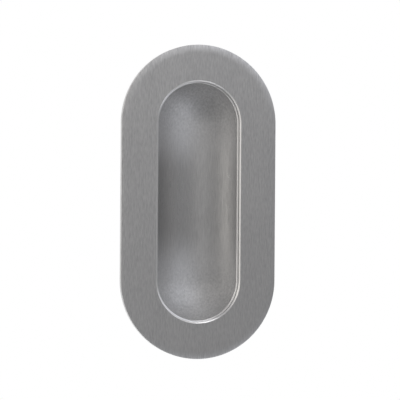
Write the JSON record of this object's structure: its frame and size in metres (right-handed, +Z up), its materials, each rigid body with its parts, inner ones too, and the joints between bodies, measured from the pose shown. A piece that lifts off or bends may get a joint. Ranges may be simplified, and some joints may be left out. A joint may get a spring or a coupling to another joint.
{
  "type": "pocket door pull",
  "caption": "Obround flush pull in brushed stainless steel: a flat face plate with an obround opening and a rounded finger recess behind it.",
  "frame": {"origin": "middle of the pull, on the door surface that the back of the face plate lies on", "axes": "+Z up along the length of the pull, +X across it, +Y into the door; the face and the open side of the recess look towards -Y"},
  "size_m": [0.06, 0.013, 0.12],
  "materials": {
    "plate_steel": "satin, brushed along the length",
    "cup_steel": "satin, drawn and lightly brushed along the length"
  },
  "bodies": {
    "root": {"face_plate": "plate_steel", "recess_cup": "cup_steel"}
  },
  "joints": []
}
